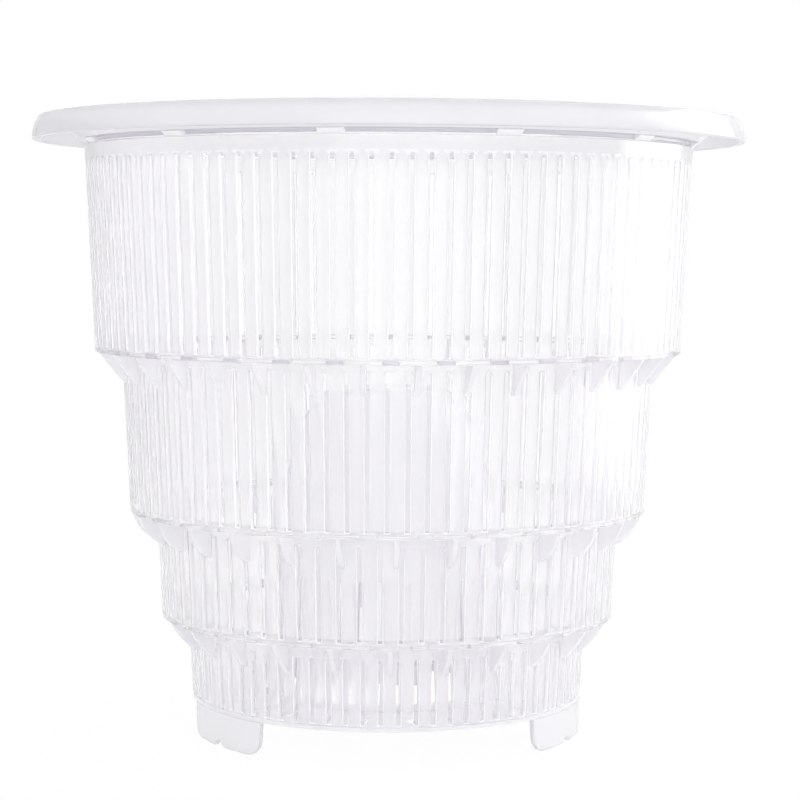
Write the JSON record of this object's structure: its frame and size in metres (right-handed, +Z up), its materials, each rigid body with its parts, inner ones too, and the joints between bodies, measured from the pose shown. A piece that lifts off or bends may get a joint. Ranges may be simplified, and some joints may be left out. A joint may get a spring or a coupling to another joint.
{
  "type": "net pot",
  "caption": "Clear stepped net pot with slotted tiers, a vented brim, ribbed steps, curved feet and a lift-out slotted aeration dome.",
  "frame": {"origin": "centre of the circle through the feet, on the ground", "axes": "+Z up along the pot's axis, -Y towards the front of the picture, +X to its right"},
  "size_m": [0.18, 0.18, 0.1555],
  "materials": {
    "clear_plastic": "clear moulded plastic, glossy",
    "hazy_plastic": "slightly hazy moulded plastic, satin"
  },
  "bodies": {
    "pot": {"rim_brim": "clear_plastic", "rim_bridge_01": "clear_plastic", "rim_bridge_02": "clear_plastic", "rim_bridge_03": "clear_plastic", "rim_bridge_04": "clear_plastic", "rim_bridge_05": "clear_plastic", "rim_bridge_06": "clear_plastic", "rim_bridge_07": "clear_plastic", "rim_bridge_08": "clear_plastic", "rim_bridge_09": "clear_plastic", "rim_bridge_10": "clear_plastic", "rim_bridge_11": "clear_plastic", "rim_bridge_12": "clear_plastic", "tier_1_wall": "clear_plastic", "step_1_ledge": "clear_plastic", "tier_2_wall": "clear_plastic", "step_2_ledge": "clear_plastic", "tier_3_wall": "clear_plastic", "step_3_ledge": "clear_plastic", "tier_4_wall": "clear_plastic", "base_floor": "clear_plastic", "foot_1": "clear_plastic", "foot_2": "clear_plastic", "foot_3": "clear_plastic"},
    "dome": {"aeration_dome": "hazy_plastic"}
  },
  "joints": [
    {"name": "dome_lift", "type": "slide", "parent": "pot", "child": "dome", "axis": [0, 0, 1], "range_m": [0, 0.17]}
  ]
}
